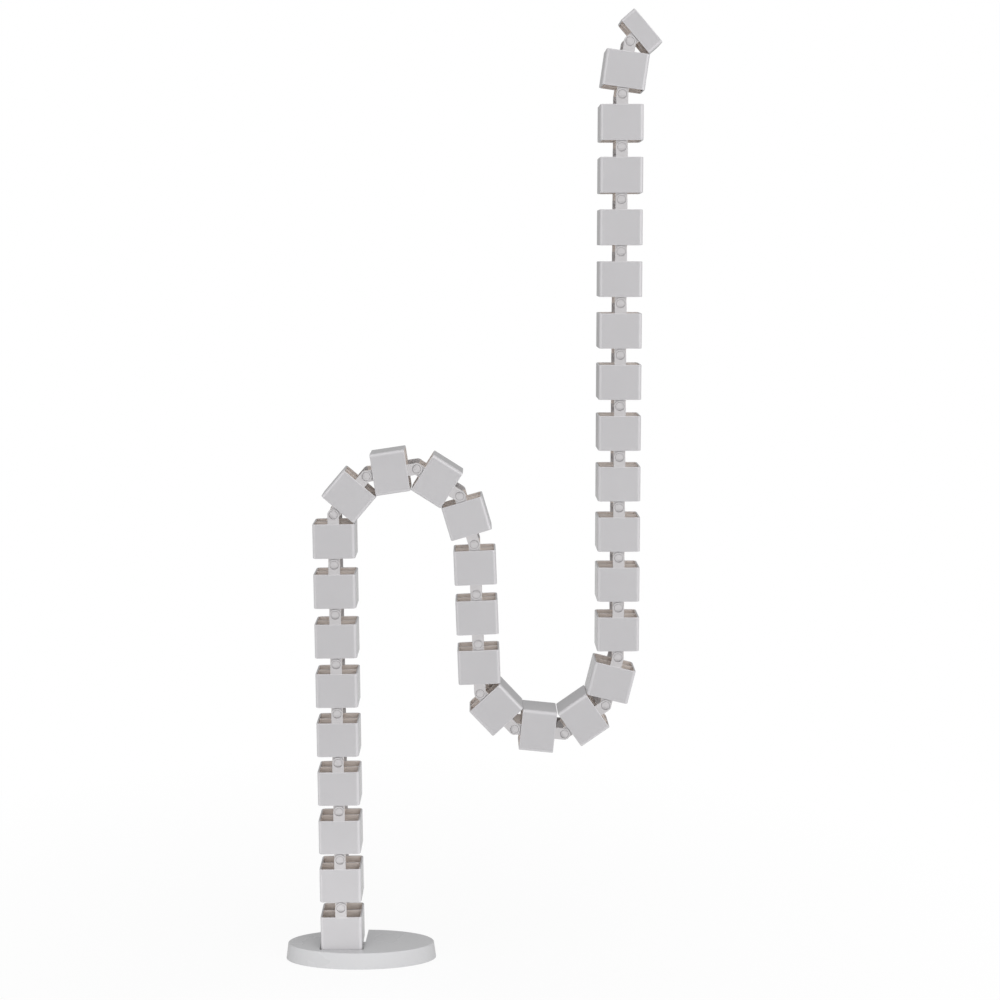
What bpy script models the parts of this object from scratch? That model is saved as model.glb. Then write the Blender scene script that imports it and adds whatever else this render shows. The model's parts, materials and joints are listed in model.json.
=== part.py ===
"""Cable spine: a weighted foot, a chain of hinged square links and a desk mount.

The chain stands on the foot, bends over and back in an S and ends in the piece
that is screwed under a desk. Every joint is the same: two ears on the lower
piece carry eyes, and two tabs inside the upper piece carry the pins that snap
into them. Metres, +Z up, +X toward the desk end, +Y away from the front. The
origin lies on the floor under the middle of the foot.
"""

import math

import bmesh
import bpy
from mathutils import Matrix

# Links
LINK_COUNT = 32
PITCH = 0.0400
SECTION = 0.0335
CORNER_RADIUS = 0.0030
WALL = 0.0015
DIVIDER = 0.0011
RUNNING_GAP = 0.0003

# Hinge eyes and pins
BEND_LIMIT = 41.0
STOP_GAP = 0.00033
PIN_RADIUS = 0.0030
EYE_WALL = 0.0013
EAR_THICKNESS = 0.0011
EAR_INSET = 0.0003
EAR_SEAT = 0.0008
EDGE_GAP = 0.0006
TAB_THICKNESS = 0.0018
TAB_ROOT = 0.0060
PIN_SETBACK = 0.0001
PIN_LEAD = 0.0009

# Foot
FOOT_LENGTH = 0.1220
FOOT_LAND = 0.00885
FOOT_HEIGHT = 0.0135
FOOT_TAPER = 0.0017
FOOT_EDGE = 0.0008
FOOT_RIM = 0.0003
CHAIN_OFFSET = -0.0147
SLOT_FRONT_GAP = 0.0004
SLOT_SIDE_GAP = 0.0010
SLOT_FLARE = 0.0016
WEB = 0.0014
EYE_LIFT = 0.0004
PAD_THICKNESS = 0.0008
PAD_INSET = 0.0030

# Desk mount
MOUNT_HEIGHT = 0.0135
MOUNT_PLATE = 0.0018
SCREW_HOLE = 0.0042

# Standing pose, in degrees of bend toward +X at each joint from the foot up
COLUMN_LEAN = -0.5
MIDDLE_TURN = 14.4
DESK_LEAN = 8.0
TURN_LINKS = 4

# Facets
CORNER_STEPS = 2
EAR_STEPS = 4
TAB_STEPS = 3
EYE_SIDES = 8
PIN_SIDES = 6
FOOT_SIDES = 40

# Sizes that follow from the ones above
HALF = SECTION / 2
INSIDE = HALF - WALL
EYE_RADIUS = (PIN_RADIUS + RUNNING_GAP) / math.cos(math.pi / EYE_SIDES)
HEAD_RADIUS = PIN_RADIUS + RUNNING_GAP + EYE_WALL
EDGE_HEIGHT = HEAD_RADIUS + EDGE_GAP
LIMIT = math.radians(BEND_LIMIT)
RIM_DROP = HALF * math.sin(LIMIT) - EDGE_HEIGHT * math.cos(LIMIT) + STOP_GAP
RIM_HEIGHT = PITCH - RIM_DROP
EAR_OUTER = HALF - EAR_INSET
EAR_INNER = EAR_OUTER - EAR_THICKNESS
TAB_OUTER = EAR_INNER - RUNNING_GAP
TAB_INNER = TAB_OUTER - TAB_THICKNESS
MOUNT_TOP = EDGE_HEIGHT + MOUNT_HEIGHT
PAD_TOP = PAD_THICKNESS
RECESS_TOP = PAD_TOP + RUNNING_GAP
WEB_TOP = RECESS_TOP + WEB
FOOT_PIVOT = WEB_TOP + EYE_LIFT + HEAD_RADIUS
FOOT_RADIUS = FOOT_LENGTH / 2
FOOT_HALF_DEPTH = HALF + SLOT_FRONT_GAP + FOOT_LAND
CUT_MARGIN = 0.002

MATERIALS = {
    "grey_plastic": ((0.55, 0.55, 0.56, 1), 0.45, 0.0),
    "grey_paint": ((0.62, 0.62, 0.64, 1), 0.40, 0.2),
    "black_rubber": ((0.03, 0.03, 0.03, 1), 0.85, 0.0),
}


def clear_scene():
    """Remove every object that the file opened with."""
    for item in list(bpy.data.objects):
        bpy.data.objects.remove(item, do_unlink=True)


def new_collection(name):
    """Return a new collection linked to the scene."""
    collection = bpy.data.collections.new(name)
    bpy.context.scene.collection.children.link(collection)
    return collection


def make_material(name):
    """Return a Principled material with the named colour and finish."""
    colour, roughness, metallic = MATERIALS[name]
    material = bpy.data.materials.new(name)
    material.use_nodes = True
    shader = material.node_tree.nodes["Principled BSDF"]
    shader.inputs["Base Color"].default_value = colour
    shader.inputs["Roughness"].default_value = roughness
    shader.inputs["Metallic"].default_value = metallic
    material.diffuse_color = colour
    return material


def arc(centre, radius, start, end, steps):
    """Return points along an arc, from start to end in degrees."""
    angles = [math.radians(start + (end - start) * i / steps) for i in range(steps + 1)]
    return [(centre[0] + radius * math.cos(a), centre[1] + radius * math.sin(a)) for a in angles]


def ring(centre, radius, sides):
    """Return the corners of a regular polygon with flat sides up and down."""
    half_step = 180 / sides
    return arc(centre, radius, half_step, 360 - half_step, sides - 1)


def rounded_square(half, radius, steps):
    """Return a square outline about the origin with rounded corners."""
    inner = half - radius
    corners = [(inner, inner, 0), (-inner, inner, 90), (-inner, -inner, 180), (inner, -inner, 270)]
    points = []
    for x, y, start in corners:
        points += arc((x, y), radius, start, start + 90, steps)
    return points


def channel_outlines():
    """Return the outlines of the four cable channels, parted by the cross wall."""
    near = DIVIDER / 2
    square = [(near, near), (INSIDE, near), (INSIDE, INSIDE), (near, INSIDE)]
    signs = [(1, 1), (-1, 1), (-1, -1), (1, -1)]
    return [[(x * sx, y * sy) for x, y in square] for sx, sy in signs]


def bake(item):
    """Return the evaluated mesh of an object as a new mesh and remove the object."""
    graph = bpy.context.evaluated_depsgraph_get()
    mesh = bpy.data.meshes.new_from_object(item.evaluated_get(graph))
    bpy.data.objects.remove(item, do_unlink=True)
    return mesh


def scratch_object(data):
    """Put a mesh or a curve in the scene for a moment."""
    item = bpy.data.objects.new(data.name, data)
    bpy.context.scene.collection.objects.link(item)
    return item


def tidy_mesh(mesh):
    """Weld a mesh, merge its flat faces and turn its faces outward."""
    work = bmesh.new()
    work.from_mesh(mesh)
    bmesh.ops.remove_doubles(work, verts=work.verts, dist=1e-6)
    bmesh.ops.dissolve_limit(work, angle_limit=0.001, verts=work.verts, edges=work.edges)
    bmesh.ops.recalc_face_normals(work, faces=work.faces)
    work.to_mesh(mesh)
    work.free()


def flat_solid(name, loops, bottom, top):
    """Return a mesh of closed outlines in XY, extruded from bottom to top."""
    curve = bpy.data.curves.new(name, "CURVE")
    curve.dimensions = "2D"
    curve.fill_mode = "BOTH"
    curve.extrude = (top - bottom) / 2
    for loop in loops:
        spline = curve.splines.new("POLY")
        spline.points.add(len(loop) - 1)
        for point, (x, y) in zip(spline.points, loop):
            point.co = (x, y, 0, 1)
        spline.use_cyclic_u = True
    mesh = bake(scratch_object(curve))
    mesh.transform(Matrix.Translation((0, 0, (bottom + top) / 2)))
    tidy_mesh(mesh)
    return mesh


def front_solid(name, loops, outer, inner):
    """Return a mesh of closed outlines in XZ, between two depths on the front side."""
    mesh = flat_solid(name, loops, inner, outer)
    mesh.transform(Matrix.Rotation(math.pi / 2, 4, "X"))
    return mesh


def join_solids(operation, mesh, *tools):
    """Return a mesh joined with, or cut by, other meshes."""
    body = scratch_object(mesh)
    helpers = [scratch_object(tool) for tool in tools]
    for helper in helpers:
        modifier = body.modifiers.new("join", "BOOLEAN")
        modifier.operation = operation
        modifier.solver = "EXACT"
        modifier.object = helper
    joined = bake(body)
    for helper in helpers:
        bpy.data.objects.remove(helper, do_unlink=True)
    tidy_mesh(joined)
    return joined


def front_and_back(mesh):
    """Return a front piece together with its mirror image at the back."""
    half = scratch_object(mesh)
    mirror = half.modifiers.new("mirror", "MIRROR")
    mirror.use_axis = (False, True, False)
    mirror.merge_threshold = 0.0001
    return bake(half)


def ear_pair(pivot, foot):
    """Return the two ears, from foot up to their round heads about the pivot height."""
    outline = [(-HEAD_RADIUS, foot), (HEAD_RADIUS, foot)]
    outline += arc((0, pivot), HEAD_RADIUS, 0, 180, EAR_STEPS)
    eye = ring((0, pivot), EYE_RADIUS, EYE_SIDES)
    return front_and_back(front_solid("ear", [outline, eye], EAR_OUTER, EAR_INNER))


def pin_mesh():
    """Return the front pin, with its end slanted back on the side that enters first."""
    end = EAR_OUTER - PIN_SETBACK
    start = TAB_OUTER - TAB_THICKNESS / 2
    work = bmesh.new()
    place = Matrix.Translation((0, -(start + end) / 2, 0)) @ Matrix.Rotation(math.pi / 2, 4, "X")
    bmesh.ops.create_cone(work, cap_ends=True, segments=PIN_SIDES, radius1=PIN_RADIUS,
                          radius2=PIN_RADIUS, depth=end - start, matrix=place)
    for vert in work.verts:
        if vert.co.y < -TAB_OUTER:
            vert.co.y += PIN_LEAD * (PIN_RADIUS - vert.co.z) / (2 * PIN_RADIUS)
    mesh = bpy.data.meshes.new("pin")
    work.to_mesh(mesh)
    work.free()
    return mesh


def tab_pair():
    """Return the two tabs with their pins, rooted inside the lower edge of a piece."""
    top = EDGE_HEIGHT + TAB_ROOT
    plate = [(HEAD_RADIUS, top), (-HEAD_RADIUS, top)]
    plate += arc((0, 0), HEAD_RADIUS, 180, 360, TAB_STEPS)
    root = [(-HEAD_RADIUS, EDGE_HEIGHT), (HEAD_RADIUS, EDGE_HEIGHT), (HEAD_RADIUS, top), (-HEAD_RADIUS, top)]
    tab = front_solid("tab", [plate], TAB_OUTER, TAB_INNER)
    block = front_solid("root", [root], HALF - WALL / 2, TAB_INNER)
    return front_and_back(join_solids("UNION", tab, block, pin_mesh()))


def tube_mesh(top, channel_top):
    """Return a rounded square block with the four channels cut in from below."""
    outline = rounded_square(HALF, CORNER_RADIUS, CORNER_STEPS)
    block = flat_solid("block", [outline], EDGE_HEIGHT, top)
    channels = flat_solid("channels", channel_outlines(), EDGE_HEIGHT - CUT_MARGIN, channel_top)
    return join_solids("DIFFERENCE", block, channels)


def link_mesh():
    """Return one link: a square tube with a cross wall, ears above and tabs below."""
    tube = tube_mesh(RIM_HEIGHT, RIM_HEIGHT + CUT_MARGIN)
    return join_solids("UNION", tube, ear_pair(PITCH, RIM_HEIGHT - EAR_SEAT), tab_pair())


def desk_mount_mesh():
    """Return the desk mount: a short link closed by a plate with four screw holes."""
    shell = tube_mesh(MOUNT_TOP, MOUNT_TOP - MOUNT_PLATE)
    middle = (INSIDE + DIVIDER / 2) / 2
    centres = [(sx * middle, sy * middle) for sx in (-1, 1) for sy in (-1, 1)]
    rings = [ring(centre, SCREW_HOLE / 2, EYE_SIDES) for centre in centres]
    screws = flat_solid("screws", rings, MOUNT_TOP - MOUNT_PLATE - CUT_MARGIN, MOUNT_TOP + CUT_MARGIN)
    return join_solids("UNION", join_solids("DIFFERENCE", shell, screws), tab_pair())


def oval_mesh(name, long_radius, short_radius, bottom, top, taper):
    """Return an oval disc that narrows by the taper toward its top."""
    work = bmesh.new()
    bmesh.ops.create_cone(work, cap_ends=True, segments=FOOT_SIDES, radius1=long_radius,
                          radius2=long_radius - taper, depth=top - bottom)
    bmesh.ops.scale(work, vec=(1, short_radius / long_radius, 1), verts=work.verts)
    bmesh.ops.translate(work, vec=(0, 0, (bottom + top) / 2), verts=work.verts)
    mesh = bpy.data.meshes.new(name)
    work.to_mesh(mesh)
    work.free()
    return mesh


def mark_top_edge(mesh, height):
    """Give the edges at one height a full bevel weight."""
    weights = mesh.attributes.new("bevel_weight_edge", "FLOAT", "EDGE")
    for edge in mesh.edges:
        if all(mesh.vertices[i].co.z > height for i in edge.vertices):
            weights.data[edge.index].value = 1


def slot_outline():
    """Return the plan of the cable slot, which flares toward the open back."""
    front = -(HALF + SLOT_FRONT_GAP)
    back = FOOT_HALF_DEPTH + CUT_MARGIN
    near = HALF + SLOT_SIDE_GAP
    far = near + SLOT_FLARE
    corners = [(-near, front), (near, front), (far, back), (-far, back)]
    return [(x + CHAIN_OFFSET, y) for x, y in corners]


def place(name, mesh, material, collection, parent=None):
    """Put a finished mesh in the scene as a named piece."""
    if not mesh.materials:
        mesh.materials.append(material)
    piece = bpy.data.objects.new(name, mesh)
    piece.parent = parent
    collection.objects.link(piece)
    return piece


def add_cutter(piece, mesh, operation, collection):
    """Join or cut a piece with a hidden helper mesh."""
    helper = bpy.data.objects.new(mesh.name, mesh)
    helper.hide_render = True
    helper.display_type = "WIRE"
    collection.objects.link(helper)
    modifier = piece.modifiers.new(mesh.name, "BOOLEAN")
    modifier.operation = operation
    modifier.solver = "EXACT"
    modifier.object = helper


def build_foot(collection, cutters, paint, rubber):
    """Build the foot plate with its slot, recess and ears, and the pad under it."""
    mesh = oval_mesh("foot", FOOT_RADIUS, FOOT_HALF_DEPTH, FOOT_RIM, FOOT_HEIGHT, FOOT_TAPER)
    mark_top_edge(mesh, FOOT_HEIGHT - FOOT_EDGE)
    foot = place("base_plate", mesh, paint, collection)
    bevel = foot.modifiers.new("top_edge", "BEVEL")
    bevel.limit_method = "WEIGHT"
    bevel.width = FOOT_EDGE
    bevel.segments = 2
    slot = flat_solid("slot_cut", [slot_outline()], WEB_TOP, FOOT_HEIGHT + CUT_MARGIN)
    add_cutter(foot, slot, "DIFFERENCE", cutters)
    inset = PAD_INSET - RUNNING_GAP
    recess = oval_mesh("recess_cut", FOOT_RADIUS - inset, FOOT_HALF_DEPTH - inset,
                       FOOT_RIM - CUT_MARGIN, RECESS_TOP, 0)
    add_cutter(foot, recess, "DIFFERENCE", cutters)
    ears = ear_pair(FOOT_PIVOT, WEB_TOP - EAR_SEAT)
    ears.name = "foot_ears"
    ears.transform(Matrix.Translation((CHAIN_OFFSET, 0, 0)))
    add_cutter(foot, ears, "UNION", cutters)
    pad = oval_mesh("pad", FOOT_RADIUS - PAD_INSET, FOOT_HALF_DEPTH - PAD_INSET, 0, PAD_TOP, 0)
    place("base_pad", pad, rubber, collection, foot)
    return foot


def rest_bends():
    """Return the bend at every joint in the standing pose, in degrees."""
    first_column = [COLUMN_LEAN] + [0.0] * 8
    over = [BEND_LIMIT] * TURN_LINKS
    middle_column = [MIDDLE_TURN, 0.0, 0.0]
    under = [-BEND_LIMIT] * TURN_LINKS
    upright = [-(COLUMN_LEAN + MIDDLE_TURN)]
    run = first_column + over + middle_column + under + upright
    desk_column = [0.0] * (LINK_COUNT - 1 - len(run))
    return run + desk_column + [DESK_LEAN, BEND_LIMIT]


def build_chain(collection, plastic, foot):
    """Hang each link on the one before it and end with the desk mount."""
    mesh = link_mesh()
    mesh.name = "link"
    mount = desk_mount_mesh()
    mount.name = "desk_mount"
    names = [f"link_{number:02d}" for number in range(1, LINK_COUNT + 1)] + ["desk_mount"]
    parent = foot
    pivot = (CHAIN_OFFSET, 0, FOOT_PIVOT)
    for name, bend in zip(names, rest_bends()):
        shape = mount if name == "desk_mount" else mesh
        piece = place(name, shape, plastic, collection, parent)
        piece.location = pivot
        piece.rotation_euler = (0, math.radians(bend), 0)
        parent = piece
        pivot = (0, 0, PITCH)


def main():
    """Build the cable spine."""
    clear_scene()
    collection = new_collection("cable_spine")
    cutters = new_collection("cutters")
    plastic = make_material("grey_plastic")
    foot = build_foot(collection, cutters, make_material("grey_paint"), make_material("black_rubber"))
    build_chain(collection, plastic, foot)
    bpy.context.view_layer.update()


main()
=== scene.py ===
"""Looks of the cable spine: moulded links, desk mount, painted foot, light and camera.

Every link is modelled once, in its own frame, with its lower pins at the origin
and the chain running along +Z. Copies are then set on the pivots of the frame.
Lengths are in metres. Values in pixels belong to the 1000 by 1000 photograph.
"""

import json
import logging
import math
from dataclasses import dataclass, field
from enum import Enum
from typing import Callable, Sequence

import bmesh
import bpy
from mathutils import Matrix, Vector


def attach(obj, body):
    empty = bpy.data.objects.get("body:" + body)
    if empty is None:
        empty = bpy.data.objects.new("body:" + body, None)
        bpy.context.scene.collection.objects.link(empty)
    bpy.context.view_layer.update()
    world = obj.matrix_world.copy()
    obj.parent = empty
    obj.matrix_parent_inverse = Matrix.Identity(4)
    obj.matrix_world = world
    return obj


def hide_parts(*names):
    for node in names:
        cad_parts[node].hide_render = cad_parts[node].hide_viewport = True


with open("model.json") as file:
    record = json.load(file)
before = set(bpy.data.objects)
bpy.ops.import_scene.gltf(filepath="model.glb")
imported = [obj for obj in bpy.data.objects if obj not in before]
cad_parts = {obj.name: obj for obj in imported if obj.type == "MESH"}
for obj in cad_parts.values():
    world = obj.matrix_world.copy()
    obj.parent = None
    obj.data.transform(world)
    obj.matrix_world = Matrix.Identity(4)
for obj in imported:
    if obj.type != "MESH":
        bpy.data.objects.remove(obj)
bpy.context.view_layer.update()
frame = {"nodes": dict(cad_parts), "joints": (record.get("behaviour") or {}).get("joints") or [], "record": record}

LOG = logging.getLogger("cable_spine")
# The inside mask carries painted warm bounce light on inner walls, the edge mask painted highlights on rounded
# edges.
PAINTED_BOUNCE_MASK = "inside"
PAINTED_HIGHLIGHT_MASK = "edge"
WHITE = (1.0, 1.0, 1.0, 1.0)

# Two places that are closer than SAME_PLACE are one, SLACK covers rounding errors, and
# CLEAR_STEP is a real difference in height.
SAME_PLACE = 1e-6
SLACK = 1e-5
CLEAR_STEP = 1e-4
# A face looks along an axis when its normal has more than FACING there, and it is a
# wall when its normal has less than WALL_NORMAL along Z.
FACING = 0.9
WALL_NORMAL = 0.1
# How far a helper reaches past the piece that it cuts.
CUT_MARGIN = 0.002
# Degrees under which an edge looks smooth, and the weight that keeps flat faces flat.
SMOOTH_UNDER = 35.0
FLAT_FACE_WEIGHT = 100


class Way(Enum):
    """How a helper shape changes a piece."""

    JOIN = "UNION"
    CUT = "DIFFERENCE"


class Pick(Enum):
    """What an edit selects."""

    EDGES = "EDGE"
    FACES = "FACE"


# Modelling helpers


def deselect_all() -> None:
    """Leave nothing selected in object mode."""
    if bpy.context.object and bpy.context.object.mode != "OBJECT":
        bpy.ops.object.mode_set(mode="OBJECT")
    for item in bpy.context.selected_objects:
        item.select_set(False)


def make_active(piece: bpy.types.Object) -> None:
    """Select one piece alone and make it the active object.

    Args:
        piece: The object that the next operators act on.
    """
    deselect_all()
    piece.select_set(True)
    bpy.context.view_layer.objects.active = piece


def add_block(name: str, low: Sequence[float], high: Sequence[float]) -> bpy.types.Object:
    """Add a box between two corners.

    Args:
        name: The new object's name.
        low: The lowest corner.
        high: The highest corner.

    Returns:
        The box, with its place in its mesh.
    """
    deselect_all()
    centre = [(a + b) / 2 for a, b in zip(low, high)]
    size = [b - a for a, b in zip(low, high)]
    bpy.ops.mesh.primitive_cube_add(size=1, location=centre, scale=size)
    piece = bpy.context.object
    piece.name = name
    bpy.ops.object.transform_apply(location=True, rotation=True, scale=True)
    return piece


def add_rod(name: str, radius: float, centre: Sequence[float], length: float,
            sides: int, along_z: bool = False) -> bpy.types.Object:
    """Add a cylinder along Y, or along Z.

    Args:
        name: The new object's name.
        radius: The cylinder's radius.
        centre: The middle of the cylinder.
        length: Its length.
        sides: How many sides it has.
        along_z: True for a cylinder that stands upright.

    Returns:
        The cylinder, with its place in its mesh.
    """
    deselect_all()
    turn = (0, 0, 0) if along_z else (math.pi / 2, 0, 0)
    bpy.ops.mesh.primitive_cylinder_add(vertices=sides, radius=radius, depth=length,
                                        location=centre, rotation=turn)
    piece = bpy.context.object
    piece.name = name
    bpy.ops.object.transform_apply(location=True, rotation=True, scale=True)
    return piece


def select_in(piece: bpy.types.Object, pick: Pick, test: Callable[[object], bool]) -> int:
    """Enter edit mode on a piece and select the edges or faces that pass a test.

    Args:
        piece: The piece to edit.
        pick: Whether edges or faces are selected.
        test: Says of a bmesh edge or face whether it is wanted.

    Returns:
        How many were selected.
    """
    make_active(piece)
    bpy.ops.object.mode_set(mode="EDIT")
    bpy.ops.mesh.select_mode(type=pick.value)
    bpy.ops.mesh.select_all(action="DESELECT")
    work = bmesh.from_edit_mesh(piece.data)
    items = work.edges if pick is Pick.EDGES else work.faces
    chosen = [item for item in items if test(item)]
    for item in chosen:
        item.select_set(True)
    bmesh.update_edit_mesh(piece.data)
    return len(chosen)


def leave_edit() -> None:
    """Go back to object mode."""
    bpy.ops.object.mode_set(mode="OBJECT")


def anything(item: object) -> bool:
    """Pass every edge or face."""
    return True


def climb(edge: bmesh.types.BMEdge) -> float:
    """Measure how far an edge climbs."""
    first, second = edge.verts
    return abs(first.co.z - second.co.z)


def is_upright(edge: bmesh.types.BMEdge) -> bool:
    """Say whether an edge climbs by a clear step."""
    return climb(edge) > CLEAR_STEP


def is_level(edge: bmesh.types.BMEdge) -> bool:
    """Say whether an edge lies at one height."""
    return climb(edge) < SAME_PLACE


def borders_wall(edge: bmesh.types.BMEdge) -> bool:
    """Say whether an edge borders an upright face."""
    return any(abs(face.normal.z) < WALL_NORMAL for face in edge.link_faces)


def round_edges(piece: bpy.types.Object, test: Callable[[object], bool], width: float,
                steps: int) -> None:
    """Round the edges of a piece that pass a test.

    Args:
        piece: The piece to edit.
        test: Says of a bmesh edge whether it is rounded.
        width: The size of the rounding.
        steps: How many segments it has.
    """
    if select_in(piece, Pick.EDGES, test):
        bpy.ops.mesh.bevel(offset=width, offset_type="OFFSET", segments=steps, profile=0.5,
                           affect="EDGES", clamp_overlap=True)
    leave_edit()


def combine(piece: bpy.types.Object, tool: bpy.types.Object, way: Way) -> None:
    """Join a helper shape to a piece, or cut it away, and remove the helper.

    Args:
        piece: The piece that stays.
        tool: The helper shape.
        way: Whether the helper is joined or cut.
    """
    make_active(piece)
    modifier = piece.modifiers.new(tool.name, "BOOLEAN")
    modifier.operation = way.value
    modifier.solver = "EXACT"
    modifier.object = tool
    bpy.ops.object.modifier_apply(modifier=modifier.name)
    bpy.data.objects.remove(tool, do_unlink=True)


def duplicate(piece: bpy.types.Object, name: str, matrix: Matrix) -> bpy.types.Object:
    """Copy a piece with its own mesh and move the copy's points.

    Args:
        piece: The piece to copy.
        name: The copy's name.
        matrix: Where the copy goes.

    Returns:
        The copy, with its object at the origin.
    """
    copy = piece.copy()
    copy.data = piece.data.copy()
    copy.name = name
    copy.data.name = name
    copy.data.transform(matrix)
    bpy.context.scene.collection.objects.link(copy)
    return copy


def clean_up(piece: bpy.types.Object) -> None:
    """Merge doubled points, turn faces outward and shade the shape.

    Gentle angles look smooth, and flat faces stay flat.

    Args:
        piece: The finished shape.
    """
    select_in(piece, Pick.FACES, anything)
    bpy.ops.mesh.remove_doubles(threshold=SAME_PLACE)
    bpy.ops.mesh.normals_make_consistent(inside=False)
    leave_edit()
    bpy.ops.object.shade_smooth_by_angle(angle=math.radians(SMOOTH_UNDER))
    modifier = piece.modifiers.new("flat_faces", "WEIGHTED_NORMAL")
    modifier.mode = "FACE_AREA"
    modifier.weight = FLAT_FACE_WEIGHT
    modifier.keep_sharp = True
    bpy.ops.object.modifier_apply(modifier=modifier.name)


def soften(piece: bpy.types.Object, width: float, steps: int, angle: float) -> None:
    """Round every sharp edge of a finished shape with a Bevel modifier.

    Args:
        piece: The shape.
        width: The size of the rounding.
        steps: How many segments it has.
        angle: The angle in degrees above which an edge counts as sharp.
    """
    make_active(piece)
    modifier = piece.modifiers.new("soften", "BEVEL")
    modifier.width = width
    modifier.segments = steps
    modifier.limit_method = "ANGLE"
    modifier.angle_limit = math.radians(angle)
    modifier.miter_outer = "MITER_ARC"
    modifier.use_clamp_overlap = True
    bpy.ops.object.modifier_apply(modifier=modifier.name)


# Finishes

# The skin's two noises: clouds that shift colour and gloss, and a fine grain. The clouds
# mostly stay within CLOUD_SPAN.
CLOUD_DETAIL = 3.0
CLOUD_SPAN = (0.3, 0.7)
GRAIN_DETAIL = 4.0
GRAIN_ROUGHNESS = 0.6


def new_tree(name: str) -> tuple[bpy.types.Material, bpy.types.NodeTree, bpy.types.Node]:
    """Make a material with a Principled shader.

    Args:
        name: The material's name.

    Returns:
        The material, its node tree and its Principled shader.
    """
    material = bpy.data.materials.new(name)
    material.use_nodes = True
    tree = material.node_tree
    return material, tree, tree.nodes["Principled BSDF"]


def skin_with_painted_light_group() -> bpy.types.NodeTree:
    """Build the shared skin: a mottled colour with painted warm bounce light on inner walls and painted highlights
    on rounded edges, an uneven gloss and a fine grain.

    Returns:
        The node group, made once and then reused.
    """
    name = "skin_with_painted_light"
    if name in bpy.data.node_groups:
        return bpy.data.node_groups[name]
    group = bpy.data.node_groups.new(name, "ShaderNodeTree")
    sockets = group.interface
    for label, kind in (("Colour", "NodeSocketColor"), ("Painted Bounce Colour", "NodeSocketColor"),
                        ("Painted Bounce", "NodeSocketFloat"), ("Mottle", "NodeSocketFloat"),
                        ("Cloud Scale", "NodeSocketFloat"), ("Grain Scale", "NodeSocketFloat"),
                        ("Gloss Low", "NodeSocketFloat"), ("Gloss High", "NodeSocketFloat"),
                        ("Painted Highlight", "NodeSocketFloat"), ("Painted Highlight Lift", "NodeSocketFloat")):
        sockets.new_socket(label, in_out="INPUT", socket_type=kind)
    sockets.new_socket("Colour", in_out="OUTPUT", socket_type="NodeSocketColor")
    sockets.new_socket("Roughness", in_out="OUTPUT", socket_type="NodeSocketFloat")
    sockets.new_socket("Height", in_out="OUTPUT", socket_type="NodeSocketFloat")
    nodes, links = group.nodes, group.links
    inputs = nodes.new("NodeGroupInput")
    outputs = nodes.new("NodeGroupOutput")
    place = nodes.new("ShaderNodeTexCoord")
    cloud = nodes.new("ShaderNodeTexNoise")
    cloud.inputs["Detail"].default_value = CLOUD_DETAIL
    grain = nodes.new("ShaderNodeTexNoise")
    grain.inputs["Detail"].default_value = GRAIN_DETAIL
    grain.inputs["Roughness"].default_value = GRAIN_ROUGHNESS
    links.new(place.outputs["Object"], cloud.inputs["Vector"])
    links.new(place.outputs["Object"], grain.inputs["Vector"])
    links.new(inputs.outputs["Cloud Scale"], cloud.inputs["Scale"])
    links.new(inputs.outputs["Grain Scale"], grain.inputs["Scale"])
    # Painted warm bounce light: the inside mask blends in a lighter, warmer colour on inner walls.
    base = nodes.new("ShaderNodeMix")
    base.data_type = "RGBA"
    links.new(inputs.outputs["Painted Bounce"], base.inputs["Factor"])
    links.new(inputs.outputs["Colour"], base.inputs["A"])
    links.new(inputs.outputs["Painted Bounce Colour"], base.inputs["B"])
    centred = nodes.new("ShaderNodeMath")
    centred.operation = "SUBTRACT"
    centred.inputs[1].default_value = 0.5
    links.new(cloud.outputs["Fac"], centred.inputs[0])
    shade = nodes.new("ShaderNodeMath")
    shade.operation = "MULTIPLY_ADD"
    shade.inputs[2].default_value = 1.0
    links.new(centred.outputs[0], shade.inputs[0])
    links.new(inputs.outputs["Mottle"], shade.inputs[1])
    # Painted highlight: the edge mask lightens the colour over the rounded edges.
    highlighted = nodes.new("ShaderNodeMath")
    highlighted.operation = "MULTIPLY_ADD"
    links.new(inputs.outputs["Painted Highlight"], highlighted.inputs[0])
    links.new(inputs.outputs["Painted Highlight Lift"], highlighted.inputs[1])
    links.new(shade.outputs[0], highlighted.inputs[2])
    mottled_and_highlit = nodes.new("ShaderNodeVectorMath")
    mottled_and_highlit.operation = "SCALE"
    links.new(base.outputs["Result"], mottled_and_highlit.inputs["Vector"])
    links.new(highlighted.outputs[0], mottled_and_highlit.inputs["Scale"])
    gloss = nodes.new("ShaderNodeMapRange")
    gloss.inputs["From Min"].default_value = CLOUD_SPAN[0]
    gloss.inputs["From Max"].default_value = CLOUD_SPAN[1]
    links.new(cloud.outputs["Fac"], gloss.inputs["Value"])
    links.new(inputs.outputs["Gloss Low"], gloss.inputs["To Min"])
    links.new(inputs.outputs["Gloss High"], gloss.inputs["To Max"])
    links.new(mottled_and_highlit.outputs["Vector"], outputs.inputs["Colour"])
    links.new(gloss.outputs["Result"], outputs.inputs["Roughness"])
    links.new(grain.outputs["Fac"], outputs.inputs["Height"])
    return group


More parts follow.
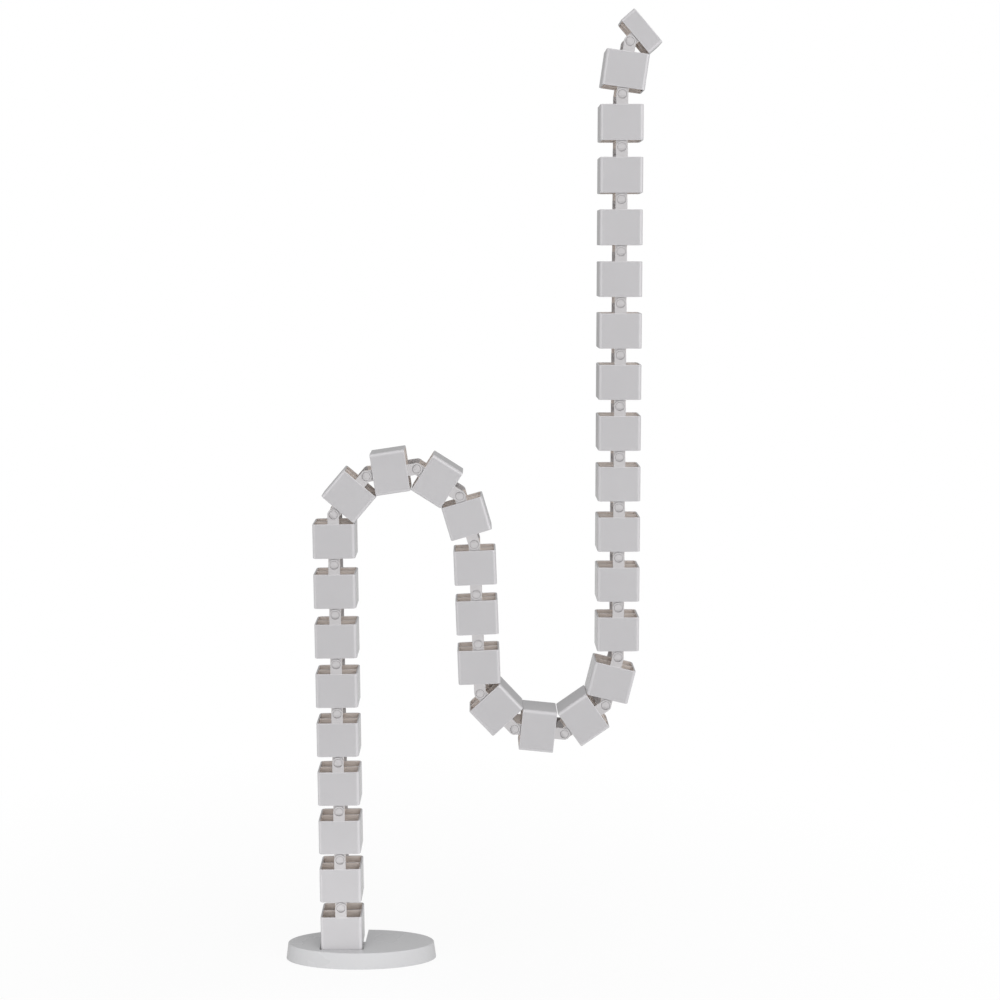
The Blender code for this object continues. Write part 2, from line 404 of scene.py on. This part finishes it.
@dataclass(frozen=True)
class Finish:
    """A finish made from the shared skin.

    Args:
        name: The material's name.
        colour: The outside colour, linear.
        painted_bounce_colour: The colour of walls that face inward, linear, lighter and warmer as painted bounce
            light.
        mottle: How strongly the colour wanders.
        cloud_scale: Clouds in a metre.
        grain_scale: Grains in a metre.
        grain_depth: How deep the grain looks, in metres.
        gloss: The lowest and highest roughness.
        specular: The shader's specular level.
        coat: The weight of a clear coat.
        coat_roughness: The roughness of the coat.
        painted_edge_highlight: How much lighter the rounded edges are painted, a painted highlight.
        uses_masks: True where the piece carries the inside and edge masks that paint bounce light and highlights.
    """

    name: str
    colour: tuple[float, float, float]
    painted_bounce_colour: tuple[float, float, float]
    mottle: float
    cloud_scale: float
    grain_scale: float
    grain_depth: float
    gloss: tuple[float, float]
    specular: float = 0.5
    coat: float = 0.0
    coat_roughness: float = 0.12
    painted_edge_highlight: float = 0.0
    uses_masks: bool = False

    def build(self) -> bpy.types.Material:
        """Make the finish's material.

        Returns:
            The material, ready for a slot.
        """
        material, tree, shader = new_tree(self.name)
        skin = tree.nodes.new("ShaderNodeGroup")
        skin.node_tree = skin_with_painted_light_group()
        skin.inputs["Colour"].default_value = (*self.colour, 1)
        skin.inputs["Painted Bounce Colour"].default_value = (*self.painted_bounce_colour, 1)
        skin.inputs["Mottle"].default_value = self.mottle
        skin.inputs["Cloud Scale"].default_value = self.cloud_scale
        skin.inputs["Grain Scale"].default_value = self.grain_scale
        skin.inputs["Gloss Low"].default_value = self.gloss[0]
        skin.inputs["Gloss High"].default_value = self.gloss[1]
        skin.inputs["Painted Highlight Lift"].default_value = self.painted_edge_highlight
        # The inside mask paints warm bounce light on inner walls; the edge mask paints highlights on rounded
        # edges.
        if self.uses_masks:
            for name, socket in ((PAINTED_BOUNCE_MASK, "Painted Bounce"), (PAINTED_HIGHLIGHT_MASK, "Painted Highlight")):
                mask = tree.nodes.new("ShaderNodeAttribute")
                mask.attribute_name = name
                tree.links.new(mask.outputs["Fac"], skin.inputs[socket])
        bump = tree.nodes.new("ShaderNodeBump")
        bump.inputs["Strength"].default_value = 1.0
        bump.inputs["Distance"].default_value = self.grain_depth
        tree.links.new(skin.outputs["Height"], bump.inputs["Height"])
        tree.links.new(bump.outputs["Normal"], shader.inputs["Normal"])
        tree.links.new(skin.outputs["Colour"], shader.inputs["Base Color"])
        tree.links.new(skin.outputs["Roughness"], shader.inputs["Roughness"])
        shader.inputs["Specular IOR Level"].default_value = self.specular
        shader.inputs["Coat Weight"].default_value = self.coat
        shader.inputs["Coat Roughness"].default_value = self.coat_roughness
        material.diffuse_color = (*self.colour, 1)
        return material


# The link plastic's deep colour is painted warm bounce light, lighter than its outside colour; its edge lift is a
# painted highlight.
LINK_PLASTIC = Finish(
    name="grey_link_plastic", colour=(0.525, 0.515, 0.528), painted_bounce_colour=(0.84, 0.765, 0.715),
    mottle=0.05, cloud_scale=38.0, grain_scale=2600.0, grain_depth=0.000008,
    gloss=(0.28, 0.36), coat=0.8, coat_roughness=0.10, painted_edge_highlight=0.30, uses_masks=True)
FOOT_PAINT = Finish(
    name="grey_foot_paint", colour=(0.588, 0.588, 0.598), painted_bounce_colour=(0.588, 0.588, 0.598),
    mottle=0.03, cloud_scale=25.0, grain_scale=1800.0, grain_depth=0.000008,
    gloss=(0.26, 0.30), coat=0.7, coat_roughness=0.10)
PAD_RUBBER = Finish(
    name="black_pad_rubber", colour=(0.025, 0.025, 0.026), painted_bounce_colour=(0.025, 0.025, 0.026),
    mottle=0.3, cloud_scale=120.0, grain_scale=3000.0, grain_depth=0.00015,
    gloss=(0.75, 0.9), specular=0.3)


# The chain


@dataclass
class Hinge:
    """The ears and tabs that every joint is made of.

    Args:
        head_radius: Radius of the round heads of ears and tabs.
        eye_radius: Radius of the hole in an ear.
        pin_radius: Radius of a tab's pin.
        ear_outer: Depth of an ear's outer face from the middle.
        ear_thickness: Thickness of an ear.
        tab_gap: Gap between an ear and the tab behind it.
        tab_thickness: Thickness of a tab.
        tab_root: Height of the block that carries a tab inside the wall.
        pin_setback: How far the pin's end lies behind the ear's face.
        lead_in: Depth of the slant on the side of the pin that enters first.
        lead_share: Height that the slant takes up, as a share of the pin's radius.
        edge: Rounding of the hinge's edges.
        edge_steps: Segments of that rounding.
        sharp_over: Degrees above which an edge of an ear or tab is rounded.
        pin_sharp_over: The same for the pin, whose slant is gentler.
        sides: Sides of a full round.
        cut_facing: How squarely a face looks along Z to count as a plate's cut end.
    """

    head_radius: float = 0.0046
    eye_radius: float = 0.0034
    pin_radius: float = 0.00325
    ear_outer: float = 0.01645
    ear_thickness: float = 0.0011
    tab_gap: float = 0.0003
    tab_thickness: float = 0.0018
    tab_root: float = 0.0060
    pin_setback: float = 0.0001
    lead_in: float = 0.0011
    lead_share: float = 0.75
    edge: float = 0.0002
    edge_steps: int = 2
    sharp_over: float = 60.0
    pin_sharp_over: float = 25.0
    sides: int = 48
    cut_facing: float = 0.99

    def plate(self, name: str, outer: float, inner: float, centre: float,
              far: float) -> bpy.types.Object:
        """Model a plate with one round head.

        Args:
            name: The plate's name.
            outer: Depth of its outer face from the middle.
            inner: Depth of its inner face.
            centre: Height of the middle of the round head.
            far: Height of the straight end.

        Returns:
            The plate on the front side.
        """
        middle = -(outer + inner) / 2
        plate = add_rod(name, self.head_radius, (0, middle, centre), outer - inner, self.sides)
        toward = 1 if far > centre else -1
        select_in(plate, Pick.FACES, anything)
        bpy.ops.mesh.bisect(plane_co=(0, 0, centre), plane_no=(0, 0, toward),
                            use_fill=True, clear_outer=True)
        leave_edit()
        select_in(plate, Pick.FACES, lambda face: face.normal.z * toward > self.cut_facing)
        bpy.ops.mesh.extrude_region_move(
            TRANSFORM_OT_translate={"value": (0, 0, far - centre)})
        leave_edit()
        return plate

    def ears(self, pivot: float, foot: float) -> bpy.types.Object:
        """Model the front and back ears.

        Args:
            pivot: Height of the eyes.
            foot: Height where the ears start inside what carries them.

        Returns:
            Both ears as one object.
        """
        outer, inner = self.ear_outer, self.ear_outer - self.ear_thickness
        ear = self.plate("ear", outer, inner, pivot, foot)
        length = 4 * self.ear_thickness
        eye = add_rod("eye", self.eye_radius, (0, -outer, pivot), length, self.sides)
        combine(ear, eye, Way.CUT)
        soften(ear, self.edge, self.edge_steps, self.sharp_over)
        return self.both_sides(ear)

    def pin(self) -> bpy.types.Object:
        """Model the front pin with the slant that lets it slide into its eye.

        Returns:
            The pin, from inside the tab to just behind the ear's face.
        """
        end = self.ear_outer - self.pin_setback
        start = self.ear_outer - self.ear_thickness - self.tab_gap - self.tab_thickness / 2
        pin = add_rod("pin", self.pin_radius, (0, -(start + end) / 2, 0), end - start, self.sides)
        select_in(pin, Pick.FACES, anything)
        drop = self.lead_share * self.pin_radius
        slant = Vector((0, -drop, -self.lead_in)).normalized()
        bpy.ops.mesh.bisect(plane_co=(0, -end, drop - self.pin_radius), plane_no=slant,
                            use_fill=True, clear_outer=True)
        leave_edit()
        soften(pin, self.edge, self.edge_steps, self.pin_sharp_over)
        return pin

    def tabs(self, edge_height: float) -> bpy.types.Object:
        """Model the front and back tabs with their pins.

        Args:
            edge_height: Height of the lower edge of the piece that carries them.

        Returns:
            Both tabs as one object.
        """
        outer = self.ear_outer - self.ear_thickness - self.tab_gap
        inner = outer - self.tab_thickness
        top = edge_height + self.tab_root
        tab = self.plate("tab", outer, inner, 0, top)
        soften(tab, self.edge, self.edge_steps, self.sharp_over)
        side = self.head_radius - self.edge
        sunk = self.ear_outer - self.ear_thickness / 2
        root = add_block("root", (-side, -sunk, edge_height + self.edge),
                         (side, -inner - self.edge, top - self.edge))
        combine(tab, root, Way.JOIN)
        combine(tab, self.pin(), Way.JOIN)
        return self.both_sides(tab)

    def both_sides(self, front: bpy.types.Object) -> bpy.types.Object:
        """Add the back twin of a front piece, turned half round.

        Args:
            front: The front piece.

        Returns:
            The front piece with its twin in the same mesh.
        """
        twin = duplicate(front, "twin", Matrix.Rotation(math.pi, 4, "Z"))
        make_active(front)
        twin.select_set(True)
        bpy.ops.object.join()
        return front


@dataclass
class SquareTube:
    """The square body that links and desk mount share.

    Args:
        half: Half of the outside width.
        corner: Radius of the upright corners.
        wall: Thickness of the outer walls.
        divider: Thickness of the cross wall.
        channel_corner: Radius of the corners inside a channel.
        rim_round: Rounding of the outer rims.
        lip_round: Rounding of the rims of the channels.
        corner_steps: Segments of an upright corner.
        rim_steps: Segments of the roundings of rims and channel corners.
        lip_steps: Segments of the rounding of a channel's rim.
        lower: Height of the lower edge above the lower pins.
        hinge_bounce_share: How much of the painted warm bounce light colour the ears and tabs show.
        highlight_reach: How far the painted edge highlight spreads over a rounding.
        hinge: The hinge parts.
    """

    half: float = 0.01675
    corner: float = 0.0030
    wall: float = 0.0015
    divider: float = 0.0011
    channel_corner: float = 0.0007
    rim_round: float = 0.0006
    lip_round: float = 0.0002
    corner_steps: int = 8
    rim_steps: int = 3
    lip_steps: int = 2
    lower: float = 0.0052
    hinge_bounce_share: float = 0.1
    highlight_reach: float = 2.5
    hinge: Hinge = field(default_factory=Hinge)

    def block(self, name: str, top: float) -> bpy.types.Object:
        """Model the solid block with its rounded corners and rims.

        Args:
            name: The block's name.
            top: Height of its upper face.

        Returns:
            The block.
        """
        half = self.half
        block = add_block(name, (-half, -half, self.lower), (half, half, top))
        round_edges(block, is_upright, self.corner, self.corner_steps)
        round_edges(block, is_level, self.rim_round, self.rim_steps)
        return block

    def channels(self, bottom: float, top: float) -> bpy.types.Object:
        """Model the four channel cores as one helper.

        Args:
            bottom: Height of their lower ends.
            top: Height of their upper ends.

        Returns:
            The four cores in one mesh.
        """
        near, far = self.divider / 2, self.half - self.wall
        core = add_block("core", (near, near, bottom), (far, far, top))
        round_edges(core, is_upright, self.channel_corner, self.rim_steps)
        twins = [duplicate(core, "core_twin", Matrix.Rotation(math.pi / 2 * turn, 4, "Z"))
                 for turn in (1, 2, 3)]
        make_active(core)
        for twin in twins:
            twin.select_set(True)
        bpy.ops.object.join()
        return core

    def round_lips(self, piece: bpy.types.Object, heights: Sequence[float]) -> None:
        """Round the rims of the channels.

        Args:
            piece: The piece with its channels cut.
            heights: The heights of the faces that the channels open in.
        """
        reach = self.half - self.wall + SLACK

        def is_lip(edge: bmesh.types.BMEdge) -> bool:
            """Say whether an edge runs round a channel's mouth."""
            ends = [vert.co for vert in edge.verts]
            level = any(all(abs(end.z - height) < SAME_PLACE for end in ends)
                        for height in heights)
            within = all(max(abs(end.x), abs(end.y)) < reach for end in ends)
            return level and within and borders_wall(edge)

        round_edges(piece, is_lip, self.lip_round, self.lip_steps)

    def mark_painted_light(self, piece: bpy.types.Object, top: float) -> None:
        """Store how much painted warm bounce light and painted edge highlight each face corner shows.

        Args:
            piece: The piece in its own frame.
            top: Height of its upper face.
        """
        limit = self.half - self.wall + SLACK
        mesh = piece.data
        inside, edge = [], []
        for face in mesh.polygons:
            height = face.center.z
            on_tube = self.lower - CLEAR_STEP < height < top + CLEAR_STEP
            within = self.lower + CLEAR_STEP < height < top - CLEAR_STEP
            for index in face.vertices:
                place = mesh.vertices[index].co
                deep = within and max(abs(place.x), abs(place.y)) < limit
                # Painted warm bounce light on inner walls, and a little on ears and tabs.
                inside.append(float(deep) if on_tube else self.hinge_bounce_share)
                # Painted highlight on the outside roundings.
                edge.append(self.highlight_share(place, top) if on_tube and not deep else 0.0)
        for name, values in ((PAINTED_BOUNCE_MASK, inside), (PAINTED_HIGHLIGHT_MASK, edge)):
            mesh.attributes.new(name, "FLOAT", "CORNER").data.foreach_set("value", values)

    def highlight_share(self, place: Vector, top: float) -> float:
        """Say how much painted highlight the lighter edge gets at a point of the outside.

        Args:
            place: The point in the piece's own frame.
            top: Height of the piece's upper face.

        Returns:
            From 0 on a flat face to 1 around the middle of a rounding.
        """
        across, along = sorted((abs(place.x), abs(place.y)))
        near_rim = min(top - place.z, place.z - self.lower)
        turns = (
            math.atan2(across + self.corner - self.half, along + self.corner - self.half),
            math.atan2(self.rim_round - near_rim, along + self.rim_round - self.half))
        middle = 1 - math.cos(math.pi / 4)
        shares = [(1 - max(math.cos(turn), math.sin(turn))) / middle
                  for turn in turns if 0 < turn < math.pi / 2]
        return min(1.0, self.highlight_reach * max(shares, default=0.0))


@dataclass
class ChainLink(SquareTube):
    """One link of the chain.

    Args:
        rim: Height of the upper rim above the lower pins.
        pitch: Distance between the pins and the eyes.
        seat: How deep the ears start inside the rim.
    """

    rim: float = 0.0326
    pitch: float = 0.0400
    seat: float = 0.0010

    def build(self) -> bpy.types.Object:
        """Model the link in its own frame.

        Returns:
            The link with its lower pins at the origin.
        """
        link = self.block("link_template", self.rim)
        cores = self.channels(self.lower - CUT_MARGIN, self.rim + CUT_MARGIN)
        combine(link, cores, Way.CUT)
        self.round_lips(link, (self.lower, self.rim))
        combine(link, self.hinge.ears(self.pitch, self.rim - self.seat), Way.JOIN)
        combine(link, self.hinge.tabs(self.lower), Way.JOIN)
        clean_up(link)
        self.mark_painted_light(link, self.rim)
        return link


@dataclass
class DeskMount(SquareTube):
    """The half-height piece that is screwed under the desk.

    Args:
        top: Height of its closed face above its pins.
        plate: Thickness of the closed face.
        screw_radius: Radius of a screw hole.
        screw_sides: Sides of a screw hole.
    """

    top: float = 0.0187
    plate: float = 0.0018
    screw_radius: float = 0.0021
    screw_sides: int = 32

    def build(self) -> bpy.types.Object:
        """Model the desk mount in its own frame.

        Returns:
            The mount with its pins at the origin.
        """
        mount = self.block("mount_template", self.top)
        ceiling = self.top - self.plate
        combine(mount, self.channels(self.lower - CUT_MARGIN, ceiling), Way.CUT)
        self.round_lips(mount, (self.lower,))
        middle = (self.half - self.wall + self.divider / 2) / 2
        depth = 3 * self.plate
        for turn in range(4):
            spot = Matrix.Rotation(math.pi / 2 * turn, 4, "Z") @ Vector((middle, middle, self.top))
            hole = add_rod("screw", self.screw_radius, spot, depth, self.screw_sides,
                           along_z=True)
            combine(mount, hole, Way.CUT)
        combine(mount, self.hinge.tabs(self.lower), Way.JOIN)
        clean_up(mount)
        self.mark_painted_light(mount, self.top)
        return mount


@dataclass
class Chain:
    """All links and the desk mount, set on the pivots of the frame.

    Args:
        link: The link that is copied.
        mount: The desk mount.
        finish: The plastic of both.
    """

    link: ChainLink = field(default_factory=ChainLink)
    mount: DeskMount = field(default_factory=DeskMount)
    finish: Finish = LINK_PLASTIC

    def stations(self) -> list[tuple[str, Vector, float]]:
        """Read each piece's pins and turn from the frame.

        Returns:
            For each body its name, the place of its pins and its turn about Y.
        """
        pivots = [(joint["child"], Vector(joint["pos_m"])) for joint in frame["joints"]]
        normal = next(m["axis"] for m in frame["record"]["mounts"] if m["name"] == "desk_face")
        found = []
        for index, (body, pivot) in enumerate(pivots):
            if index + 1 < len(pivots):
                way = pivots[index + 1][1] - pivot
            else:
                way = Vector(normal)
            found.append((body, pivot, math.atan2(way.x, way.z)))
        return found

    def build(self) -> None:
        """Copy the link along the chain and end with the desk mount."""
        material = self.finish.build()
        shapes = {"link": self.link.build(), "mount": self.mount.build()}
        for shape in shapes.values():
            shape.data.materials.clear()
            shape.data.materials.append(material)
        for body, pivot, turn in self.stations():
            shape = shapes["mount" if body == "desk_mount" else "link"]
            matrix = Matrix.Translation(pivot) @ Matrix.Rotation(turn, 4, "Y")
            piece = duplicate(shape, f"moulded_{body}", matrix)
            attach(piece, body)
            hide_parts(body)
            LOG.info("placed %s, %d faces", piece.name, len(piece.data.polygons))
        for shape in shapes.values():
            bpy.data.objects.remove(shape, do_unlink=True)


@dataclass
class Foot:
    """The weighted foot: an oval plate with a slot that opens at the back.

    Args:
        long_radius: Half of its length.
        short_radius: Half of its depth.
        height: Height of its top face.
        rim: Height of its lower rim above the floor.
        taper: How far the top is drawn in at the ends.
        edge: Rounding of the top edge.
        lower_edge: Rounding of the lower edge.
        chain_x: Where the chain stands along the foot.
        slot_half: Half of the slot's width at its front.
        slot_flare: How much wider each side is behind the foot.
        slot_front: Depth of the slot's front wall.
        slot_edge: Rounding of the slot's upper edges.
        web_top: Height of the slot's floor.
        recess_top: Height of the ceiling over the pad.
        pad_inset: Distance from the foot's outline to the recess.
        pivot_height: Height of the eyes.
        ear_seat: How deep the ears start inside the web.
        edge_steps: Segments of the rounding of the top edge.
        fine_steps: Segments of the other roundings.
        sides: Sides of the oval.
        hinge: The hinge parts.
        paint: The foot's finish.
        rubber: The pad's finish.
    """

    long_radius: float = 0.061
    short_radius: float = 0.026
    height: float = 0.0135
    rim: float = 0.0003
    taper: float = 0.0017
    edge: float = 0.0009
    lower_edge: float = 0.0003
    chain_x: float = -0.0147
    slot_half: float = 0.01775
    slot_flare: float = 0.0016
    slot_front: float = 0.01715
    slot_edge: float = 0.0003
    web_top: float = 0.0025
    recess_top: float = 0.0011
    pad_inset: float = 0.0027
    pivot_height: float = 0.0075
    ear_seat: float = 0.0008
    edge_steps: int = 4
    fine_steps: int = 2
    sides: int = 128
    hinge: Hinge = field(default_factory=Hinge)
    paint: Finish = FOOT_PAINT
    rubber: Finish = PAD_RUBBER

    def oval(self, name: str, inset: float, bottom: float, top: float) -> bpy.types.Object:
        """Model an upright oval disc.

        Args:
            name: The disc's name.
            inset: How far it lies inside the foot's outline.
            bottom: Height of its lower face.
            top: Height of its upper face.

        Returns:
            The disc.
        """
        middle = (0, 0, (bottom + top) / 2)
        disc = add_rod(name, 1.0, middle, top - bottom, self.sides, along_z=True)
        select_in(disc, Pick.FACES, anything)
        bpy.ops.transform.resize(value=(self.long_radius - inset, self.short_radius - inset, 1),
                                 center_override=(0, 0, 0))
        leave_edit()
        return disc

    def slot(self) -> bpy.types.Object:
        """Model the core of the slot, wider toward the back.

        Returns:
            The helper that is cut away.
        """
        low = (self.chain_x - self.slot_half, -self.slot_front, self.web_top)
        high = (self.chain_x + self.slot_half, self.short_radius + CUT_MARGIN,
                self.height + CUT_MARGIN)
        core = add_block("slot_core", low, high)
        select_in(core, Pick.FACES, lambda face: face.normal.y > FACING)
        stretch = 1 + self.slot_flare / self.slot_half
        bpy.ops.transform.resize(value=(stretch, 1, 1), center_override=(self.chain_x, 0, 0))
        leave_edit()
        return core

    def build(self) -> None:
        """Model the foot plate and dress the pad under it."""
        plate = self.oval("foot_plate", 0, self.rim, self.height)
        select_in(plate, Pick.FACES, lambda face: face.normal.z > FACING)
        drawn = (self.long_radius - self.taper) / self.long_radius
        bpy.ops.transform.resize(value=(drawn, drawn, 1), center_override=(0, 0, 0))
        leave_edit()
        round_edges(plate, self.is_top_edge, self.edge, self.edge_steps)
        round_edges(plate, self.is_lower_edge, self.lower_edge, self.fine_steps)
        combine(plate, self.slot(), Way.CUT)
        round_edges(plate, self.is_slot_edge, self.slot_edge, self.fine_steps)
        recess = self.oval("recess", self.pad_inset, self.rim - CUT_MARGIN, self.recess_top)
        combine(plate, recess, Way.CUT)
        ears = self.hinge.ears(self.pivot_height, self.web_top - self.ear_seat)
        ears.data.transform(Matrix.Translation((self.chain_x, 0, 0)))
        combine(plate, ears, Way.JOIN)
        clean_up(plate)
        plate.data.materials.clear()
        plate.data.materials.append(self.paint.build())
        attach(plate, "foot")
        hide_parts("base_plate")
        LOG.info("placed %s, %d faces", plate.name, len(plate.data.polygons))
        pad = frame["nodes"]["base_pad"]
        pad.data.materials.clear()
        pad.data.materials.append(self.rubber.build())
        LOG.info("dressed %s", pad.name)

    def is_top_edge(self, edge: bmesh.types.BMEdge) -> bool:
        """Say whether an edge lies in the top face."""
        return min(vert.co.z for vert in edge.verts) > self.height - SAME_PLACE

    def is_lower_edge(self, edge: bmesh.types.BMEdge) -> bool:
        """Say whether an edge lies at the lower rim."""
        return max(vert.co.z for vert in edge.verts) < self.rim + SAME_PLACE

    def is_slot_edge(self, edge: bmesh.types.BMEdge) -> bool:
        """Say whether an edge borders the top face and a wall of the slot.

        Args:
            edge: The edge.

        Returns:
            True for the slot's upper edges.
        """
        reach = self.slot_half + self.slot_flare + SLACK
        near = all(abs(vert.co.x - self.chain_x) < reach for vert in edge.verts)
        return near and self.is_top_edge(edge) and borders_wall(edge)


# The studio


@dataclass(frozen=True)
class Lamp:
    """A soft lamp.

    Args:
        name: The lamp's name.
        place: Where it hangs.
        width: Its width.
        height: Its height.
        watts: Its power.
        aim: The point that it faces.
        mirrored: Whether reflections show it.
    """

    name: str
    place: tuple[float, float, float]
    width: float
    height: float
    watts: float
    aim: tuple[float, float, float] = (0.09, 0.0, 0.38)
    mirrored: bool = True

    def hang(self) -> None:
        """Add the lamp to the scene, out of the camera's sight."""
        data = bpy.data.lights.new(self.name, "AREA")
        data.shape = "RECTANGLE"
        data.size, data.size_y = self.width, self.height
        data.energy = self.watts
        lamp = bpy.data.objects.new(self.name, data)
        lamp.location = self.place
        toward = Vector(self.aim) - lamp.location
        lamp.rotation_euler = toward.to_track_quat("-Z", "Y").to_euler()
        lamp.visible_camera = False
        lamp.visible_glossy = self.mirrored
        bpy.context.scene.collection.objects.link(lamp)


FRONT_LAMP = Lamp("front_lamp", place=(0.3, -3.4, 0.9), width=1.8, height=1.6, watts=19.0,
                  mirrored=False)
LOW_CARD = Lamp("low_card", place=(-0.015, -0.15, 0.04), width=0.16, height=0.03,
                watts=0.043, aim=(-0.015, 0.0, 0.03), mirrored=False)
LEFT_LAMP = Lamp("left_lamp", place=(-1.75, -1.54, 1.35), width=2.4, height=2.5, watts=15.5)
RIGHT_LAMP = Lamp("right_lamp", place=(1.93, -1.54, 1.35), width=2.4, height=2.5, watts=25.0)
TOP_LAMP = Lamp("top_lamp", place=(0.2, -0.9, 3.0), width=1.6, height=1.2, watts=6.0)
BACK_LAMP = Lamp("back_lamp", place=(0.1, 2.2, 2.6), width=2.0, height=1.4, watts=14.0,
                 mirrored=False)


@dataclass
class Studio:
    """Floor, lights and camera.

    Args:
        focal_px: Focal length in pixels of the photograph.
        principal_y: Height in the photograph where the camera's axis passes.
        image: Width and height of the photograph in pixels.
        sensor: Width of the camera's sensor in millimetres.
        eye: Where the camera stands.
        pitch: Its tilt in degrees, negative when it looks down.
        yaw: Its turn in degrees, positive to the left.
        clip_start: How near to the camera a thing still shows.
        lamps: The lamps.
        air: Strength of the even light from all round.
        glossy_white: How much of the white background reflections show.
        shadow_white: How much of the white lies over the shadow at the foot.
        shadow_reach: Distances from the foot where the shadow starts to fade and is gone.
        floor_size: Width of the floor.
        floor_tone: Brightness of the floor's own colour.
        floor_roughness: Roughness of the floor.
        floor_specular: The floor's specular level.
    """

    focal_px: float = 1739.1
    principal_y: float = 450.0
    image: float = 1000.0
    sensor: float = 36.0
    eye: tuple[float, float, float] = (0.095, -1.3674, 0.570)
    pitch: float = -6.392
    yaw: float = -0.765
    clip_start: float = 0.01
    lamps: tuple[Lamp, ...] = (
        FRONT_LAMP, LOW_CARD, LEFT_LAMP, RIGHT_LAMP, TOP_LAMP, BACK_LAMP)
    air: float = 0.40
    glossy_white: float = 0.04
    shadow_white: float = 0.92
    shadow_reach: tuple[float, float] = (0.10, 0.60)
    floor_size: float = 24.0
    floor_tone: float = 0.85
    floor_roughness: float = 0.9
    floor_specular: float = 0.1

    def camera(self) -> None:
        """Place the camera at the photograph's viewing angle."""
        data = bpy.data.cameras.new("photo_camera")
        data.sensor_width = self.sensor
        data.lens = self.focal_px * self.sensor / self.image
        data.shift_y = (self.principal_y - self.image / 2) / self.image
        data.clip_start = self.clip_start
        camera = bpy.data.objects.new("photo_camera", data)
        camera.location = self.eye
        camera.rotation_euler = (math.radians(90 + self.pitch), 0, math.radians(self.yaw))
        bpy.context.scene.collection.objects.link(camera)
        bpy.context.scene.camera = camera

    def white_share(self, tree: bpy.types.NodeTree) -> bpy.types.NodeSocket:
        """Make the share of plain white that the camera and reflections see.

        Args:
            tree: The tree that gets the nodes.

        Returns:
            The socket that carries the share.
        """
        path = tree.nodes.new("ShaderNodeLightPath")
        indirect = tree.nodes.new("ShaderNodeMath")
        indirect.operation = "MAXIMUM"
        tree.links.new(path.outputs["Is Glossy Ray"], indirect.inputs[0])
        tree.links.new(path.outputs["Is Transmission Ray"], indirect.inputs[1])
        mirrored = tree.nodes.new("ShaderNodeMath")
        mirrored.operation = "MULTIPLY"
        mirrored.inputs[1].default_value = self.glossy_white
        tree.links.new(indirect.outputs[0], mirrored.inputs[0])
        seen = tree.nodes.new("ShaderNodeMath")
        seen.operation = "MAXIMUM"
        tree.links.new(path.outputs["Is Camera Ray"], seen.inputs[0])
        tree.links.new(mirrored.outputs[0], seen.inputs[1])
        return seen.outputs[0]

    def floor(self) -> None:
        """Lay a plain pale floor that keeps the object's shadow close to the foot."""
        deselect_all()
        bpy.ops.mesh.primitive_plane_add(size=self.floor_size, location=(0, 0, 0))
        floor = bpy.context.object
        floor.name = "studio_floor"
        material, tree, shader = new_tree("studio_white")
        shader.inputs["Base Color"].default_value = (*[self.floor_tone] * 3, 1)
        shader.inputs["Roughness"].default_value = self.floor_roughness
        shader.inputs["Specular IOR Level"].default_value = self.floor_specular
        glow = tree.nodes.new("ShaderNodeEmission")
        glow.inputs["Color"].default_value = WHITE
        glow.inputs["Strength"].default_value = 1.0
        place = tree.nodes.new("ShaderNodeTexCoord")
        distance = tree.nodes.new("ShaderNodeVectorMath")
        distance.operation = "LENGTH"
        tree.links.new(place.outputs["Object"], distance.inputs[0])
        fade = tree.nodes.new("ShaderNodeMapRange")
        fade.inputs["From Min"].default_value = self.shadow_reach[0]
        fade.inputs["From Max"].default_value = self.shadow_reach[1]
        fade.inputs["To Min"].default_value = self.shadow_white
        fade.inputs["To Max"].default_value = 1.0
        tree.links.new(distance.outputs["Value"], fade.inputs["Value"])
        share = tree.nodes.new("ShaderNodeMath")
        share.operation = "MULTIPLY"
        tree.links.new(self.white_share(tree), share.inputs[0])
        tree.links.new(fade.outputs["Result"], share.inputs[1])
        blend = tree.nodes.new("ShaderNodeMixShader")
        tree.links.new(share.outputs[0], blend.inputs["Fac"])
        tree.links.new(shader.outputs["BSDF"], blend.inputs[1])
        tree.links.new(glow.outputs["Emission"], blend.inputs[2])
        surface = tree.nodes["Material Output"].inputs["Surface"]
        tree.links.new(blend.outputs["Shader"], surface)
        floor.data.materials.append(material)

    def world(self) -> None:
        """Fill the room with even light, and show white past the floor."""
        world = bpy.data.worlds.new("studio_air")
        world.use_nodes = True
        bpy.context.scene.world = world
        tree = world.node_tree
        sky = tree.nodes["Background"]
        sky.inputs["Color"].default_value = WHITE
        sky.inputs["Strength"].default_value = self.air
        white = tree.nodes.new("ShaderNodeBackground")
        white.inputs["Color"].default_value = WHITE
        white.inputs["Strength"].default_value = 1.0
        blend = tree.nodes.new("ShaderNodeMixShader")
        tree.links.new(self.white_share(tree), blend.inputs["Fac"])
        tree.links.new(sky.outputs["Background"], blend.inputs[1])
        tree.links.new(white.outputs["Background"], blend.inputs[2])
        tree.links.new(blend.outputs["Shader"], tree.nodes["World Output"].inputs["Surface"])

    def build(self) -> None:
        """Set up the whole studio."""
        self.camera()
        self.floor()
        self.world()
        for lamp in self.lamps:
            lamp.hang()
        bpy.context.scene.view_settings.view_transform = "Standard"
        LOG.info("studio ready, %d lamps", len(self.lamps))


def main() -> None:
    """Dress the cable spine and set up the studio."""
    logging.basicConfig(level=logging.INFO, format="%(name)s: %(message)s")
    Chain().build()
    Foot().build()
    Studio().build()


if __name__ == "__main__":
    main()
